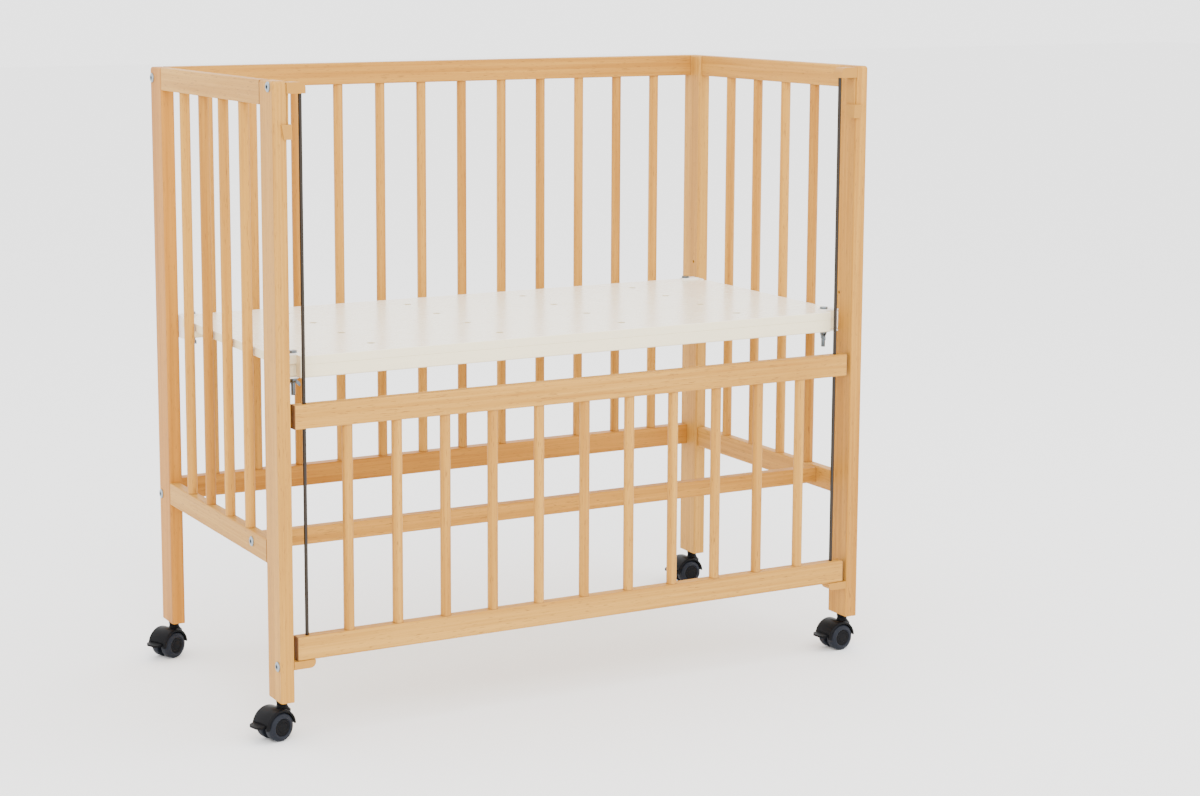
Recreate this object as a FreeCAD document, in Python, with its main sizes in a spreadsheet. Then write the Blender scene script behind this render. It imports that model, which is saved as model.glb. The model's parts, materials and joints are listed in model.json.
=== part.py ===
import FreeCAD, Part
import math
import os

import Sketcher

# A bedside sleeper crib of beech: two end frames on braked twin-wheel castors, a slatted
# back, a drop side that slides on two steel rods, and a board base hung on four brackets.
# Crib frame: X to the right, Y to the back, Z up, from the front left leg's lower outer
# corner; the last section moves everything so that the origin is under the middle.

os.makedirs("parts", exist_ok=True)
doc = FreeCAD.newDocument("bedside_crib")

# ---------------------------------------------------------------- driving dimensions
SIZES = {
    # overall
    "frame_length": 950, "frame_width": 486, "leg_height": 842,
    # legs, rails and dowels
    "leg_thickness": 20, "leg_breadth": 48, "leg_round": 3, "leg_corner": 5,
    "rail_height": 33, "rail_round": 2, "end_rail_thickness": 16, "back_rail_thickness": 20,
    "lower_rail_level": 186,
    "slat_diameter": 15,
    "back_slat_pitch": 70.8, "back_slat_count": 12, "end_slat_pitch": 78.2, "end_slat_count": 4,
    "stretcher_setback": 91.5, "stretcher_thickness": 18, "stretcher_height": 24,
    "stretcher_level": 193,
    # drop side
    "side_end_gap": 6, "side_setback": 2, "side_thickness": 18, "side_level": 56,
    "side_rail_spacing": 320, "side_slat_pitch": 73.9, "side_slat_count": 11,
    # guide rods and their fittings
    "rod_diameter": 5, "rod_inset": 43, "rod_seat": 8, "guide_clearance": 0.3,
    "foot_length": 31.5, "foot_height": 11, "fitting_width": 20, "fitting_corner": 8,
    "cap_length": 27, "cap_width": 22, "cap_height": 15, "cap_drop": 2, "cap_rod_seat": 9,
    "cap_wall": 2,
    # catch levers
    "hinge_inset": 2, "hinge_rise": 3, "hinge_radius": 1.6, "pin_radius": 0.8,
    "catch_drop": 63, "catch_block_height": 20, "tongue_thickness": 2.6, "catch_gap": 0.3,
    "block_round": 14, "tab_reach": 9, "tab_taper": 3.5, "tab_thickness": 2.5, "tab_gap": 0.5,
    # sleeping base
    "board_thickness": 12, "board_level": 460, "board_front": 22, "board_back_gap": 36,
    "board_end_gap": 0.5, "corner_inset": 43.5, "corner_setback": 14, "bracket_clearance": 0.3,
    "vent_diameter": 12, "vent_pitch_long": 201, "vent_pitch_wide": 103.5, "vent_count": 4,
    "base_rail_height": 18, "corner_block_length": 40, "corner_block_start": 40,
    "bracket_thickness": 2, "bracket_start": 28, "bracket_length": 45, "bracket_reach": 32,
    "bracket_round": 8,
    # the base's bolts and wing nuts, and the free holes for the other base height
    "level_hole_setback": 34.7, "level_hole_rise": 39, "level_hole_diameter": 5,
    "level_hole_depth": 16,
    "bolt_diameter": 6, "bolt_head_diameter": 12, "bolt_head_height": 3, "bolt_fit": 0.2,
    "base_bolt_inset": 41, "base_bolt_setback": 44, "base_bolt_length": 58,
    "nut_height": 7, "nut_radius": 5.5, "wing_reach": 12.5, "wing_height": 12,
    "wing_thickness": 2.6, "wing_tip": 3.1, "thread_clearance": 0.08,
    # castors
    "castor_height": 54, "wheel_diameter": 40, "wheel_width": 15, "wheel_gap": 8,
    "castor_trail": 13, "hood_radius": 25, "hood_wall": 2.5, "hood_width": 36,
    "web_thickness": 7, "boss_radius": 5.5, "neck_radius": 8, "swivel_gap": 0.3,
    "stem_diameter": 8, "stem_length": 32, "stem_seat": 14, "axle_diameter": 4,
    "running_clearance": 0.08, "press_gap": 0.05, "hub_diameter": 21, "hub_recess": 1,
    "tread_shoulder": 2.5,
    "pedal_length": 12, "pedal_width": 26, "pedal_thickness": 4, "pedal_rise": 3, "pedal_corner": 8,
    "notch_clearance": 0.5, "arm_width": 3.4, "arm_clearance": 0.2, "pivot_back": 10,
    "pivot_rise": 11, "pivot_radius": 1.2, "arm_radius": 2.6, "arm_across": 1.56, "arm_rise": 2.08, "shoe_angle": 19,
    "swing_gap": 1, "shoe_gap": 0.3, "shoe_thickness": 1.1, "shoe_width": 26,
    "yaw_front_left": 16, "yaw_back_left": 25, "yaw_front_right": 5, "yaw_back_right": 2,
    # where the origin lies in the crib frame, measured further down
    "origin_x": 0, "origin_y": 0, "origin_z": 0,
}

sheet = doc.addObject("Spreadsheet::Sheet", "Sizes")
for row, (name, size) in enumerate(SIZES.items(), start=1):
    sheet.set(f"A{row}", name)
    sheet.set(f"B{row}", str(size))
    sheet.setAlias(f"B{row}", name)
doc.recompute()


class Dim:
    """A size that knows its number and the sheet expression that gives it."""

    def __init__(self, value, text):
        self.value = float(value)
        self.text = text

    def __add__(self, other):
        other = dim(other)
        return Dim(self.value + other.value, f"({self.text} + {other.text})")

    def __sub__(self, other):
        other = dim(other)
        return Dim(self.value - other.value, f"({self.text} - {other.text})")

    def __mul__(self, other):
        other = dim(other)
        return Dim(self.value * other.value, f"({self.text} * {other.text})")

    def __truediv__(self, other):
        other = dim(other)
        return Dim(self.value / other.value, f"({self.text} / {other.text})")

    def __rsub__(self, other):
        return dim(other) - self

    def __neg__(self):
        return dim(0) - self

    __radd__ = __add__
    __rmul__ = __mul__


def dim(size):
    """A number, a sheet name or a Dim, as a Dim."""
    if isinstance(size, Dim):
        return size
    if isinstance(size, str):
        return Dim(float(sheet.get(size)), f"Sizes.{size}")
    return Dim(size, repr(float(size)))


def cos_of(angle):
    return Dim(math.cos(math.radians(angle.value)), f"cos({angle.text} * 1 deg)")


def sin_of(angle):
    return Dim(math.sin(math.radians(angle.value)), f"sin({angle.text} * 1 deg)")


class S:
    """The sheet's sizes, read as S.name."""


for name in SIZES:
    setattr(S, name, dim(name))


# ---------------------------------------------------------------- building tools
nodes = {}


def body_named(label):
    body = doc.addObject("PartDesign::Body", label)
    body.Label = label
    nodes[label] = body
    return body


def sketch_on(body, role, lift=0):
    """An empty sketch on the body's own plane, moved along +X, +Y or +Z by lift."""
    plane = next(f for f in body.Origin.OriginFeatures if f.Role == role)
    sketch = body.newObject("Sketcher::SketchObject", body.Label + "_sketch")
    sketch.AttachmentSupport = [(plane, "")]
    sketch.MapMode = "FlatFace"
    lift = dim(lift)
    if role == "XZ_Plane":
        lift = -lift
    sketch.setExpression("AttachmentOffset.Base.z", lift.text)
    return sketch


def pin_point(sketch, geo, pos, x, y):
    for kind, size in (("DistanceX", x), ("DistanceY", y)):
        index = sketch.addConstraint(Sketcher.Constraint(kind, -1, 1, geo, pos, size.value))
        sketch.setExpression(f"Constraints[{index}]", size.text)


def add_outline(sketch, points):
    """A closed outline of straight lines through (x, y) corners."""
    points = [(dim(x), dim(y)) for x, y in points]
    first = sketch.GeometryCount
    count = len(points)
    for i in range(count):
        (ax, ay), (bx, by) = points[i], points[(i + 1) % count]
        start = FreeCAD.Vector(ax.value, ay.value, 0)
        end = FreeCAD.Vector(bx.value, by.value, 0)
        sketch.addGeometry(Part.LineSegment(start, end), False)
    for i in range(count):
        following = first + (i + 1) % count
        sketch.addConstraint(Sketcher.Constraint("Coincident", first + i, 2, following, 1))
    for i, (x, y) in enumerate(points):
        pin_point(sketch, first + i, 1, x, y)
    return sketch


def add_circle(sketch, x, y, radius):
    x, y, radius = dim(x), dim(y), dim(radius)
    centre = FreeCAD.Vector(x.value, y.value, 0)
    circle = Part.Circle(centre, FreeCAD.Vector(0, 0, 1), radius.value)
    geo = sketch.addGeometry(circle, False)
    pin_point(sketch, geo, 3, x, y)
    index = sketch.addConstraint(Sketcher.Constraint("Radius", geo, radius.value))
    sketch.setExpression(f"Constraints[{index}]", radius.text)
    return sketch


def box_outline(x0, y0, x1, y1):
    return [(x0, y0), (x1, y0), (x1, y1), (x0, y1)]


def grow(sketch, kind, length, both=False, down=False):
    """Pad or pocket a sketch. Pads go along +X, +Y or +Z, pockets too unless down."""
    body = sketch.getParentGeoFeatureGroup()
    before = body.Shape.Volume if body.Tip else 0
    feature = body.newObject("PartDesign::" + kind, body.Label + "_" + kind.lower())
    feature.Profile = sketch
    feature.setExpression("Length", dim(length).text)
    along_y = sketch.AttachmentSupport[0][0].Role == "XZ_Plane"
    if both:
        feature.SideType = "Symmetric"
    else:
        # a pad grows along the sketch's normal and a pocket against it
        feature.Reversed = along_y != down if kind == "Pad" else along_y == down
    doc.recompute()
    after = body.Shape.Volume
    if kind == "Pocket" and before - after < 0.5:
        raise RuntimeError(f"{body.Label}: a pocket cut nothing")
    if kind == "Pad" and after - before < 0.5:
        raise RuntimeError(f"{body.Label}: a pad added nothing")
    return feature


def pad(sketch, length, **how):
    return grow(sketch, "Pad", length, **how)


def pocket(sketch, length, **how):
    return grow(sketch, "Pocket", length, **how)


def repeat(feature, axis, pitch, count):
    """A straight pattern along one of the body's axes."""
    body = feature.getParentGeoFeatureGroup()
    role = axis.upper() + "_Axis"
    direction = next(f for f in body.Origin.OriginFeatures if f.Role == role)
    pattern = body.newObject("PartDesign::LinearPattern", body.Label + "_row")
    pattern.Originals = [feature]
    pattern.Direction = (direction, [""])
    pattern.Mode = "Spacing"
    pattern.setExpression("Offset", dim(pitch).text)
    pattern.setExpression("Occurrences", dim(count).text)
    body.Tip = pattern
    doc.recompute()
    return pattern


def round_edges(body, radius, pick):
    """Fillet the edges of the body so far that pick(edge) accepts."""
    edges = [f"Edge{i}" for i, edge in enumerate(body.Shape.Edges, start=1) if pick(edge)]
    if not edges:
        raise RuntimeError(f"{body.Label}: no edge to round")
    base = body.Tip
    feature = body.newObject("PartDesign::Fillet", body.Label + "_fillet")
    feature.Base = (base, edges)
    feature.setExpression("Radius", dim(radius).text)
    doc.recompute()
    return feature


def along(axis):
    """A test for edges that run straight along one axis."""
    def test(edge):
        box = edge.BoundBox
        spans = {"x": box.XLength, "y": box.YLength, "z": box.ZLength}
        return spans.pop(axis) > 0.1 and max(spans.values()) < 0.01
    return test


def place(item, x, y, z, yaw=None):
    """Put a piece at a crib position, turned about its own Z by yaw."""
    if yaw is not None:
        item.Placement = FreeCAD.Placement(FreeCAD.Vector(), FreeCAD.Rotation(0.001, 0, 0))
        item.setExpression("Placement.Rotation.Angle", yaw.text)
    for axis, size in (("x", x), ("y", y), ("z", z)):
        item.setExpression(f"Placement.Base.{axis}", dim(size).text)


def set_node(label, x=0, y=0, z=0, yaw=None):
    """Place a finished piece, counted from the origin that the last section measures."""
    place(nodes[label], dim(x) - S.origin_x, dim(y) - S.origin_y, dim(z) - S.origin_z, yaw)


# ---------------------------------------------------------------- legs
RIGHT_X = S.frame_length - S.leg_thickness
BACK_Y = S.frame_width - S.leg_breadth
ROD_Y = S.side_setback + S.side_thickness / 2
CAP_LEVEL = S.leg_height - S.cap_drop - S.cap_height
BACK_RAIL_Y = S.frame_width - S.back_rail_thickness
TOP_RAIL_LEVEL = S.leg_height - S.rail_height


def make_leg(label, right, back):
    """A flat board with rounded edges, bored for its castor stem and the base's screws."""
    body = body_named(label)
    outline = box_outline(0, 0, S.leg_breadth, S.leg_height)
    pad(add_outline(sketch_on(body, "YZ_Plane"), outline), S.leg_thickness)
    top = S.leg_height.value - 0.01

    def top_corner(edge):
        return along("x")(edge) and edge.BoundBox.ZMin > top

    def face_outline(edge):
        return edge.BoundBox.XLength < 0.01 and edge.BoundBox.ZMax > 0.01

    round_edges(body, S.leg_corner, top_corner)
    round_edges(body, S.leg_round, face_outline)
    setback = S.leg_breadth - S.level_hole_setback if back else S.level_hole_setback
    sketch = sketch_on(body, "YZ_Plane", 0 if right else S.leg_thickness)
    add_circle(sketch, setback, S.board_level + S.level_hole_rise, S.level_hole_diameter / 2)
    pocket(sketch, S.level_hole_depth, down=not right)
    sketch = sketch_on(body, "XY_Plane")
    add_circle(sketch, S.leg_thickness / 2, S.leg_breadth / 2, S.stem_diameter / 2 + S.press_gap)
    pocket(sketch, S.stem_length + S.press_gap)
    set_node(label, RIGHT_X if right else 0, BACK_Y if back else 0)


make_leg("front_left_leg", right=False, back=False)
make_leg("back_left_leg", right=False, back=True)
make_leg("front_right_leg", right=True, back=False)
make_leg("back_right_leg", right=True, back=True)


# ---------------------------------------------------------------- rails and slats
def make_rail(label, axis, length, thickness, height, rounding):
    """A straight rail along X or Y with its four long edges rounded."""
    body = body_named(label)
    role = "YZ_Plane" if axis == "x" else "XZ_Plane"
    pad(add_outline(sketch_on(body, role), box_outline(0, 0, thickness, height)), length)
    round_edges(body, rounding, along(axis))
    return body


def first_slat(length, pitch, count):
    """Where a centred row of slats starts, measured from the end of its rail."""
    return (length - (count - 1) * pitch) / 2


def make_slats(label, axis, start, across, pitch, count, lower_level, upper_level):
    """A row of round dowels from a lower rail's top to an upper rail's underside."""
    body = body_named(label)
    sketch = sketch_on(body, "XY_Plane")
    x, y = (start, across) if axis == "x" else (across, start)
    add_circle(sketch, x, y, S.slat_diameter / 2)
    repeat(pad(sketch, upper_level - lower_level - S.rail_height), axis, pitch, count)


END_LENGTH = S.frame_width - 2 * S.leg_breadth
END_START = first_slat(END_LENGTH, S.end_slat_pitch, S.end_slat_count)
END_RIGHT_X = S.frame_length - S.end_rail_thickness
SLATS_LEVEL = S.lower_rail_level + S.rail_height

for side, x in (("left", 0), ("right", END_RIGHT_X)):
    for part, level in (("top", TOP_RAIL_LEVEL), ("bottom", S.lower_rail_level)):
        label = f"{side}_end_{part}_rail"
        make_rail(label, "y", END_LENGTH, S.end_rail_thickness, S.rail_height, S.rail_round)
        set_node(label, x, S.leg_breadth, level)
    label = f"{side}_end_slats"
    make_slats(label, "y", END_START, S.end_rail_thickness / 2, S.end_slat_pitch,
               S.end_slat_count, S.lower_rail_level, TOP_RAIL_LEVEL)
    set_node(label, x, S.leg_breadth, SLATS_LEVEL)

BACK_LENGTH = S.frame_length - 2 * S.leg_thickness
BACK_START = first_slat(BACK_LENGTH, S.back_slat_pitch, S.back_slat_count)
for part, level in (("top", TOP_RAIL_LEVEL), ("bottom", S.lower_rail_level)):
    label = f"back_{part}_rail"
    make_rail(label, "x", BACK_LENGTH, S.back_rail_thickness, S.rail_height, S.rail_round)
    set_node(label, S.leg_thickness, BACK_RAIL_Y, level)
make_slats("back_slats", "x", BACK_START, S.back_rail_thickness / 2, S.back_slat_pitch,
           S.back_slat_count, S.lower_rail_level, TOP_RAIL_LEVEL)
set_node("back_slats", S.leg_thickness, BACK_RAIL_Y, SLATS_LEVEL)

make_rail("front_stretcher", "x", S.frame_length - 2 * S.end_rail_thickness,
          S.stretcher_thickness, S.stretcher_height, S.rail_round)
set_node("front_stretcher", S.end_rail_thickness, S.stretcher_setback, S.stretcher_level)


# ---------------------------------------------------------------- drop side and its rods
SIDE_X = S.leg_thickness + S.side_end_gap
SIDE_LENGTH = S.frame_length - 2 * SIDE_X
SIDE_START = first_slat(SIDE_LENGTH, S.side_slat_pitch, S.side_slat_count)
SIDE_TOP_LEVEL = S.side_level + S.side_rail_spacing
for part, level in (("top", SIDE_TOP_LEVEL), ("bottom", S.side_level)):
    label = f"drop_side_{part}_rail"
    body = make_rail(label, "x", SIDE_LENGTH, S.side_thickness, S.rail_height, S.rail_round)
    sketch = sketch_on(body, "XY_Plane")
    for x in (S.rod_inset - SIDE_X, SIDE_LENGTH - S.rod_inset + SIDE_X):
        add_circle(sketch, x, S.side_thickness / 2, S.rod_diameter / 2 + S.guide_clearance)
    pocket(sketch, S.rail_height)
    set_node(label, SIDE_X, S.side_setback, level)
make_slats("drop_side_slats", "x", SIDE_START, S.side_thickness / 2, S.side_slat_pitch,
           S.side_slat_count, S.side_level, SIDE_TOP_LEVEL)
set_node("drop_side_slats", SIDE_X, S.side_setback, S.side_level + S.rail_height)

ROD_FOOT = S.side_level - S.rod_seat
ROD_TOP = CAP_LEVEL + S.cap_rod_seat - S.press_gap
ROD_HOLE = S.rod_diameter / 2 + S.press_gap


def make_fitting(label, way, length, width, height, start, corner_low):
    """A moulded block against the leg's inner face, one inner corner well rounded."""
    body = body_named(label)
    sketch = sketch_on(body, "XZ_Plane", start)
    pad(add_outline(sketch, box_outline(0, 0, length * way, height)), width)
    reach = length.value - 0.01
    level = 0 if corner_low else height.value

    def corner(edge):
        box = edge.BoundBox
        on_corner = abs(box.ZMin - level) < 0.01 and abs(box.XMin * way) > reach
        return along("y")(edge) and on_corner

    round_edges(body, S.fitting_corner, corner)
    return body


def bore_rod_seat(body, lift, x, depth, down):
    """The round blind hole that a guide rod's end stands in."""
    hole = add_circle(sketch_on(body, "XY_Plane", lift), x, ROD_Y, ROD_HOLE)
    pocket(hole, depth, down=down)


for side, way, face in (("left", 1, S.leg_thickness), ("right", -1, RIGHT_X)):
    rod_out = (S.rod_inset - S.leg_thickness) * way
    label = f"{side}_guide_rod"
    body = body_named(label)
    pad(add_circle(sketch_on(body, "XY_Plane"), 0, 0, S.rod_diameter / 2), ROD_TOP - ROD_FOOT)
    set_node(label, face + rod_out, ROD_Y, ROD_FOOT)

    # the foot that the rod stands in and the lowered side rests on
    label = f"{side}_rod_foot"
    body = make_fitting(label, way, S.foot_length, S.fitting_width, S.foot_height,
                        ROD_Y - S.fitting_width / 2, corner_low=True)
    bore_rod_seat(body, S.foot_height, rod_out, S.rod_seat, down=True)
    set_node(label, face, 0, S.side_level - S.foot_height)

    # the cap that holds the rod's top, slotted for the catch lever round a thin pin
    label = f"{side}_catch_body"
    body = make_fitting(label, way, S.cap_length, S.cap_width, S.cap_height, 0,
                        corner_low=False)
    bore_rod_seat(body, 0, rod_out, S.cap_rod_seat, down=False)
    slot_wall = S.hinge_inset + S.hinge_radius + 2 * S.catch_gap
    slot_top = S.hinge_rise + S.hinge_radius + S.catch_gap
    sketch = sketch_on(body, "XZ_Plane", S.cap_wall)
    add_outline(sketch, box_outline(-S.catch_gap * way, -S.catch_gap, slot_wall * way, slot_top))
    add_circle(sketch, S.hinge_inset * way, S.hinge_rise, S.pin_radius)
    pocket(sketch, S.cap_width - 2 * S.cap_wall)
    set_node(label, face, 0, CAP_LEVEL)

    # the lever hangs from the pin; its block swings in under the raised side's top rail
    label = f"{side}_catch_lever"
    body = body_named(label)
    nose = S.side_end_gap - S.catch_gap - S.hinge_inset
    heel = S.catch_gap - S.hinge_inset
    block_top = S.catch_block_height - S.catch_drop
    block_foot = -S.catch_drop
    inside = S.cap_wall + S.catch_gap
    inner_width = S.cap_width - 2 * inside
    sketch = sketch_on(body, "XZ_Plane", inside)
    pad(add_circle(sketch, 0, 0, S.hinge_radius), inner_width)
    half = S.tongue_thickness / 2
    sketch = sketch_on(body, "XZ_Plane", inside)
    add_outline(sketch, [(-half * way, 0), (half * way, 0),
                         ((heel + S.tongue_thickness) * way, block_top),
                         (heel * way, block_top)])
    pad(sketch, inner_width)
    front = S.tab_gap + S.tab_thickness
    sketch = sketch_on(body, "XZ_Plane", -front)
    add_outline(sketch, box_outline(heel * way, block_foot, nose * way, block_top))
    pad(sketch, front + inside + inner_width)
    low = block_foot.value + 0.01
    rear = (inside + inner_width).value - 0.01

    def rear_foot(edge):
        return along("x")(edge) and edge.BoundBox.ZMax < low and edge.BoundBox.YMin > rear

    round_edges(body, S.block_round, rear_foot)
    tab_top = S.hinge_inset + S.tab_reach
    sketch = sketch_on(body, "XZ_Plane", -front)
    add_outline(sketch, [(nose * way, block_foot), (nose * way, block_top),
                         (-tab_top * way, block_top),
                         ((S.tab_taper - tab_top) * way, block_foot)])
    pad(sketch, S.tab_thickness)
    sketch = sketch_on(body, "XZ_Plane", inside)
    add_circle(sketch, 0, 0, S.pin_radius + S.running_clearance)
    pocket(sketch, inner_width)
    set_node(label, face + S.hinge_inset * way, 0, CAP_LEVEL + S.hinge_rise)


# ---------------------------------------------------------------- sleeping base
BASE_LEVEL = S.board_level - S.base_rail_height
BOARD_BACK = S.frame_width - S.board_back_gap
BOLT_HOLE = S.bolt_diameter / 2 + S.bolt_fit
CORNER_X = S.leg_thickness + S.bracket_thickness + S.bracket_clearance
EDGE_X = S.end_rail_thickness + S.board_end_gap
NOTCH_Y = S.bracket_start + S.bracket_length + S.bracket_clearance
BOLT_SPOTS = [(x, y)
              for x in (S.base_bolt_inset, S.frame_length - S.base_bolt_inset)
              for y in (S.base_bolt_setback, S.frame_width - S.base_bolt_setback)]


def mirrored(points):
    """The left half of an outline, front to back, joined to its mirror image."""
    return points + [(S.frame_length - x, y) for x, y in reversed(points)]


body = body_named("mattress_board")
sketch = sketch_on(body, "XY_Plane")
back_notch = S.frame_width - NOTCH_Y
setback_y = S.board_front + S.corner_setback
left_half = [(S.corner_inset, S.board_front), (S.corner_inset, setback_y), (CORNER_X, setback_y),
             (CORNER_X, NOTCH_Y), (EDGE_X, NOTCH_Y), (EDGE_X, back_notch),
             (CORNER_X, back_notch), (CORNER_X, BOARD_BACK)]
pad(add_outline(sketch, mirrored(left_half)), S.board_thickness)
sketch = sketch_on(body, "XY_Plane")
for x, y in BOLT_SPOTS:
    add_circle(sketch, x, y, BOLT_HOLE)
pocket(sketch, S.board_thickness)
sketch = sketch_on(body, "XY_Plane")
vent_x = first_slat(S.frame_length, S.vent_pitch_long, S.vent_count)
vent_y = first_slat(S.board_front + BOARD_BACK, S.vent_pitch_wide, S.vent_count)
for i in range(int(S.vent_count.value)):
    add_circle(sketch, vent_x, vent_y + i * S.vent_pitch_wide, S.vent_diameter / 2)
repeat(pocket(sketch, S.board_thickness), "x", S.vent_pitch_long, S.vent_count)
set_node("mattress_board", 0, 0, S.board_level)

BLOCK_END = CORNER_X + S.corner_block_length
for label, inset, y in (("base_front_rail", S.corner_inset, S.board_front),
                        ("base_back_rail", BLOCK_END, BOARD_BACK - S.corner_setback)):
    length = S.frame_length - 2 * inset
    make_rail(label, "x", length, S.corner_setback, S.base_rail_height, S.rail_round / 2)
    set_node(label, inset, y, BASE_LEVEL)

body = body_named("base_corner_blocks")
sketch = sketch_on(body, "XY_Plane")
block_back = S.bracket_start + S.bracket_length
for x0, x1 in ((CORNER_X, BLOCK_END), (S.frame_length - BLOCK_END, S.frame_length - CORNER_X)):
    add_outline(sketch, box_outline(x0, S.corner_block_start, x1, block_back))
    add_outline(sketch, box_outline(x0, S.frame_width - block_back,
                                    x1, S.frame_width - S.corner_block_start))
for x, y in BOLT_SPOTS:
    add_circle(sketch, x, y, BOLT_HOLE)
pad(sketch, S.base_rail_height)
set_node("base_corner_blocks", 0, 0, BASE_LEVEL)

# four U-shaped brackets that clasp the base's corners and are screwed to the legs
body = body_named("base_brackets")
sketch = sketch_on(body, "XZ_Plane", S.bracket_start)
web_out = S.leg_thickness
web_in = S.leg_thickness + S.bracket_thickness
flange_end = web_out + S.bracket_reach
top_in = S.base_rail_height + S.board_thickness
top_out = top_in + S.bracket_thickness
channel = [(web_out, -S.bracket_thickness), (flange_end, -S.bracket_thickness), (flange_end, 0),
           (web_in, 0), (web_in, top_in), (flange_end, top_in), (flange_end, top_out),
           (web_out, top_out)]
add_outline(sketch, channel)
add_outline(sketch, [(S.frame_length - x, z) for x, z in channel])
channel_pad = pad(sketch, S.bracket_length)
spread = S.frame_width - 2 * S.bracket_start - S.bracket_length
repeat(channel_pad, "y", spread, 2)
sketch = sketch_on(body, "XY_Plane", -S.bracket_thickness)
for x, y in BOLT_SPOTS:
    add_circle(sketch, x, y, BOLT_HOLE)
pocket(sketch, top_out + S.bracket_thickness)


def free_corner(edge):
    """The flange corners that stick out past the base, away from the crib's middle."""
    box = edge.BoundBox
    lower, upper = flange_end.value, S.frame_length.value - flange_end.value
    at_end = abs(box.XMin - lower) < 0.01 or abs(box.XMin - upper) < 0.01
    start, stop = S.bracket_start.value, S.frame_width.value - S.bracket_start.value
    outward = abs(box.YMin - start) < 0.01 or abs(box.YMin - stop) < 0.01
    return along("z")(edge) and at_end and outward


round_edges(body, S.bracket_round, free_corner)
set_node("base_brackets", 0, 0, BASE_LEVEL)


# ---------------------------------------------------------------- bolts and wing nuts
def primitive(kind, at, **sizes):
    """A Part primitive with its sizes and place bound to the sheet."""
    item = doc.addObject("Part::" + kind, kind.lower())
    for name, size in sizes.items():
        item.setExpression(name, dim(size).text)
    place(item, *at)
    return item


def make_base_bolt(x, y, top):
    """A round-headed bolt with its head on the bracket's top flange."""
    shank = primitive("Cylinder", (x, y, top - S.base_bolt_length),
                      Radius=S.bolt_diameter / 2, Height=S.base_bolt_length)
    head = primitive("Cylinder", (x, y, top), Radius=S.bolt_head_diameter / 2,
                     Height=S.bolt_head_height)
    bolt = doc.addObject("Part::Fuse", "base_bolt")
    bolt.Base, bolt.Tool = shank, head
    return bolt


def group_node(label, items):
    """One node from several separate small pieces."""
    group = doc.addObject("Part::Compound", label)
    group.Label = label
    group.Links = items
    nodes[label] = group
    set_node(label)


group_node("base_bolts", [make_base_bolt(x, y, BASE_LEVEL + top_out) for x, y in BOLT_SPOTS])

# wing nuts under the brackets
for label, (x, y) in zip(("front_left", "back_left", "front_right", "back_right"), BOLT_SPOTS):
    label += "_wing_nut"
    body = body_named(label)
    hub = add_circle(sketch_on(body, "XY_Plane"), 0, 0, S.nut_radius)
    pad(hub, S.nut_height, down=True)
    for way in (1, -1):
        root = S.nut_radius - S.wing_thickness
        tip = S.wing_height - S.wing_tip
        sketch = sketch_on(body, "XZ_Plane")
        add_outline(sketch, [(root * way, -S.wing_thickness / 2), (S.wing_reach * way, -tip),
                             (S.wing_reach * way, -S.wing_height),
                             ((S.wing_reach - S.wing_thickness) * way, -S.wing_height),
                             (root * way, -S.nut_height)])
        pad(sketch, S.wing_thickness, both=True)
    sketch = sketch_on(body, "XY_Plane")
    add_circle(sketch, 0, 0, S.bolt_diameter / 2 + S.thread_clearance)
    pocket(sketch, S.wing_height, down=True)
    set_node(label, x, y, BASE_LEVEL - S.bracket_thickness)


# ---------------------------------------------------------------- castors
# Castor frame: the middle of the axle, X forwards, the swivel stem castor_trail ahead.
WHEEL_RADIUS = S.wheel_diameter / 2
LEG_FOOT = S.castor_height - WHEEL_RADIUS
HOOD_INSIDE = S.hood_radius - S.hood_wall
PEDAL_TOP = S.pedal_rise + S.pedal_thickness


def make_hood(label):
    """A half-round shell over the wheels, with the web that carries axle and pedal."""
    body = body_named(label)
    pad(add_circle(sketch_on(body, "XZ_Plane"), 0, 0, S.hood_radius), S.hood_width, both=True)
    reach = S.hood_radius + S.hood_wall
    lower = box_outline(-reach, -reach, reach, 0)
    pocket(add_outline(sketch_on(body, "XZ_Plane"), lower), S.hood_width * 2, both=True)
    boss = add_circle(sketch_on(body, "XZ_Plane"), 0, 0, S.boss_radius)
    pad(boss, S.web_thickness, both=True)
    neck_foot = S.neck_radius
    neck = add_circle(sketch_on(body, "XY_Plane", neck_foot), S.castor_trail, 0, S.neck_radius)
    pad(neck, LEG_FOOT - S.swivel_gap - neck_foot)
    for way in (1, -1):
        side = S.web_thickness / 2 * way
        cavity = add_circle(sketch_on(body, "XZ_Plane", side), 0, 0, HOOD_INSIDE)
        pocket(cavity, S.hood_width, down=way < 0)
    # room for the pedal at the back, then the slot of its arm round the pivot pin
    relief = box_outline(-reach, -S.swing_gap, -(S.pivot_back + S.arm_radius / 2),
                         PEDAL_TOP + S.swing_gap)
    pocket(add_outline(sketch_on(body, "XZ_Plane"), relief),
           S.pedal_width + 2 * S.notch_clearance, both=True)
    room = S.arm_radius + S.swing_gap
    sketch = sketch_on(body, "XZ_Plane")
    back = -(HOOD_INSIDE - S.swing_gap)
    floor = S.pivot_rise - room - S.swing_gap
    add_outline(sketch, [(room - S.pivot_back, floor), (room - S.pivot_back, S.pivot_rise + room),
                         (-(S.pivot_back + S.arm_radius), S.pivot_rise + room),
                         (back, PEDAL_TOP + S.swing_gap), (back, floor)])
    add_circle(sketch, -S.pivot_back, S.pivot_rise, S.pivot_radius)
    pocket(sketch, S.arm_width + 2 * S.arm_clearance, both=True)
    bore = S.stem_diameter / 2 + S.running_clearance
    sketch = add_circle(sketch_on(body, "XY_Plane", LEG_FOOT), S.castor_trail, 0, bore)
    pocket(sketch, S.stem_seat, down=True)
    sketch = add_circle(sketch_on(body, "XZ_Plane"), 0, 0, S.axle_diameter / 2 + S.press_gap)
    pocket(sketch, S.web_thickness * 2, both=True)


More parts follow.
